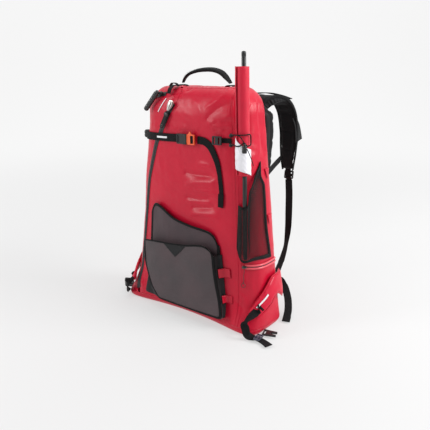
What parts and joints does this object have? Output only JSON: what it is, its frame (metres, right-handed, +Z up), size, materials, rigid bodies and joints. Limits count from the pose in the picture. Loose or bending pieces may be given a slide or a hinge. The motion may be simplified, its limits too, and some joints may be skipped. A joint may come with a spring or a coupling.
{
  "type": "dry backpack",
  "caption": "Tall red welded dry backpack with mesh pockets, compression strap, padded harness, folded hip wings and a rolled flag on a pole.",
  "frame": {"origin": "centre of the flat base, on the ground", "axes": "+Z up; the pockets and zips face -Y, the harness is on +Y, and +X is the side with the flag pole"},
  "size_m": [0.6815, 0.4411, 0.838],
  "materials": {
    "red_fabric": "coated, welded, semi-gloss",
    "black_webbing": "woven, matt",
    "black_plastic": "moulded",
    "orange_plastic": "moulded",
    "grey_ripstop": "fine woven mesh cloth",
    "open_mesh": "open diamond mesh",
    "padding": "padded mesh cloth",
    "zip_tape": "coated zip tape",
    "zip_metal": "cast, satin",
    "pole": "tube",
    "flag_cloth": "rolled cloth",
    "bungee": "braided",
    "triglide": "moulded"
  },
  "bodies": {
    "bag": {"front_panel": "red_fabric", "left_side_panel": "red_fabric", "right_side_panel": "red_fabric", "back_panel": "red_fabric", "top_panel": "red_fabric", "base_panel": "red_fabric", "main_zip_tape": "zip_tape", "left_zip_tape": "zip_tape", "pocket_zip_tape": "red_fabric", "front_mesh_panel": "grey_ripstop", "front_mesh_binding": "black_webbing", "front_pocket_panel": "grey_ripstop", "front_pocket_binding": "black_webbing", "front_pocket_gusset": "black_webbing", "side_mesh_panel": "open_mesh", "side_mesh_binding": "black_webbing", "compression_strap_left": "black_webbing", "strap_anchor_left": "black_plastic", "female_buckle": "black_plastic", "compression_strap_right": "black_webbing", "strap_ladder_lock": "black_plastic", "compression_strap_anchor": "black_webbing", "bungee_cord": "bungee", "cord_lock_body": "black_plastic", "bungee_tail": "bungee", "handle_anchor_left": "black_webbing", "handle_anchor_right": "black_webbing", "back_pad": "padding", "shoulder_pad_right": "padding", "shoulder_webbing_right": "black_webbing", "pad_buckle_right": "black_plastic", "load_lifter_right": "black_webbing", "stabiliser_right": "black_webbing", "lower_ladder_lock_right": "black_plastic", "lower_tab_right": "black_webbing", "shoulder_pad_left": "padding", "shoulder_webbing_left": "black_webbing", "pad_buckle_left": "black_plastic", "load_lifter_left": "black_webbing", "stabiliser_left": "black_webbing", "lower_ladder_lock_left": "black_plastic", "lower_tab_left": "black_webbing"},
    "top_handle": {"top_handle": "black_webbing"},
    "main_zip_slider": {"main_zip_slider": "zip_metal"},
    "main_zip_pull": {"main_zip_pull": "black_webbing"},
    "left_zip_slider": {"left_zip_slider": "zip_metal"},
    "left_zip_pull": {"left_zip_pull": "black_plastic"},
    "pocket_zip_slider": {"pocket_zip_slider": "zip_metal"},
    "pocket_zip_pull": {"pocket_zip_pull": "black_webbing"},
    "male_buckle": {"male_buckle": "orange_plastic"},
    "cord_lock_button": {"cord_lock_button": "black_plastic"},
    "flag": {"flag_pole": "pole", "flag_roll": "flag_cloth"},
    "hip_wing_right": {"hip_wing_right": "red_fabric", "hip_webbing_right": "black_webbing", "hip_triglide_right": "triglide", "hip_buckle_male": "black_plastic"},
    "hip_wing_left": {"hip_wing_left": "red_fabric", "hip_webbing_left": "black_webbing", "hip_buckle_female": "black_plastic"}
  },
  "joints": [
    {"name": "top_handle_swing", "type": "hinge", "parent": "bag", "child": "top_handle", "pos_m": [0, 0.012, 0.7505], "axis": [1, 0, 0], "range_deg": [-60, 60]},
    {"name": "main_zip_run", "type": "slide", "parent": "bag", "child": "main_zip_slider", "axis": [-0.4783, -0.0465, -0.8769], "range_m": [0, 0.06]},
    {"name": "main_zip_pull_swing", "type": "hinge", "parent": "main_zip_slider", "child": "main_zip_pull", "pos_m": [-0.07368, -0.09439, 0.66666], "axis": [-0.8947, 0.0178, 0.4462], "range_deg": [0, 80]},
    {"name": "left_zip_run", "type": "slide", "parent": "bag", "child": "left_zip_slider", "axis": [-0.9742, 0.0508, -0.2201], "range_m": [0, 0.025]},
    {"name": "left_zip_pull_swing", "type": "hinge", "parent": "left_zip_slider", "child": "left_zip_pull", "pos_m": [-0.12401, -0.08388, 0.7247], "axis": [-0.6482, 0.5054, 0.5696], "range_deg": [0, 60]},
    {"name": "pocket_zip_run", "type": "slide", "parent": "bag", "child": "pocket_zip_slider", "axis": [0.9246, 0.381, 0], "range_m": [0, 0.03]},
    {"name": "pocket_zip_pull_swing", "type": "hinge", "parent": "pocket_zip_slider", "child": "pocket_zip_pull", "pos_m": [0.21721, -0.08449, 0.20304], "axis": [-0.9255, -0.3779, 0.0248], "range_deg": [0, 80]},
    {"name": "buckle_release", "type": "slide", "parent": "bag", "child": "male_buckle", "axis": [1, 0, 0], "range_m": [0, 0.035]},
    {"name": "cord_lock_press", "type": "slide", "parent": "bag", "child": "cord_lock_button", "axis": [0, 0, -1], "range_m": [0, 0.0035], "stiffness_N_per_m": 300},
    {"name": "flag_lift", "type": "slide", "parent": "bag", "child": "flag", "axis": [-0.0282, 0, 0.9996], "range_m": [0, 0.35]},
    {"name": "hip_wing_right_swing", "type": "hinge", "parent": "bag", "child": "hip_wing_right", "pos_m": [0.25328, 0.07144, 0.1262], "axis": [0, 0, 1], "range_deg": [0, 80]},
    {"name": "hip_wing_left_swing", "type": "hinge", "parent": "bag", "child": "hip_wing_left", "pos_m": [-0.25328, 0.07144, 0.1262], "axis": [0, 0, -1], "range_deg": [0, 80]}
  ]
}
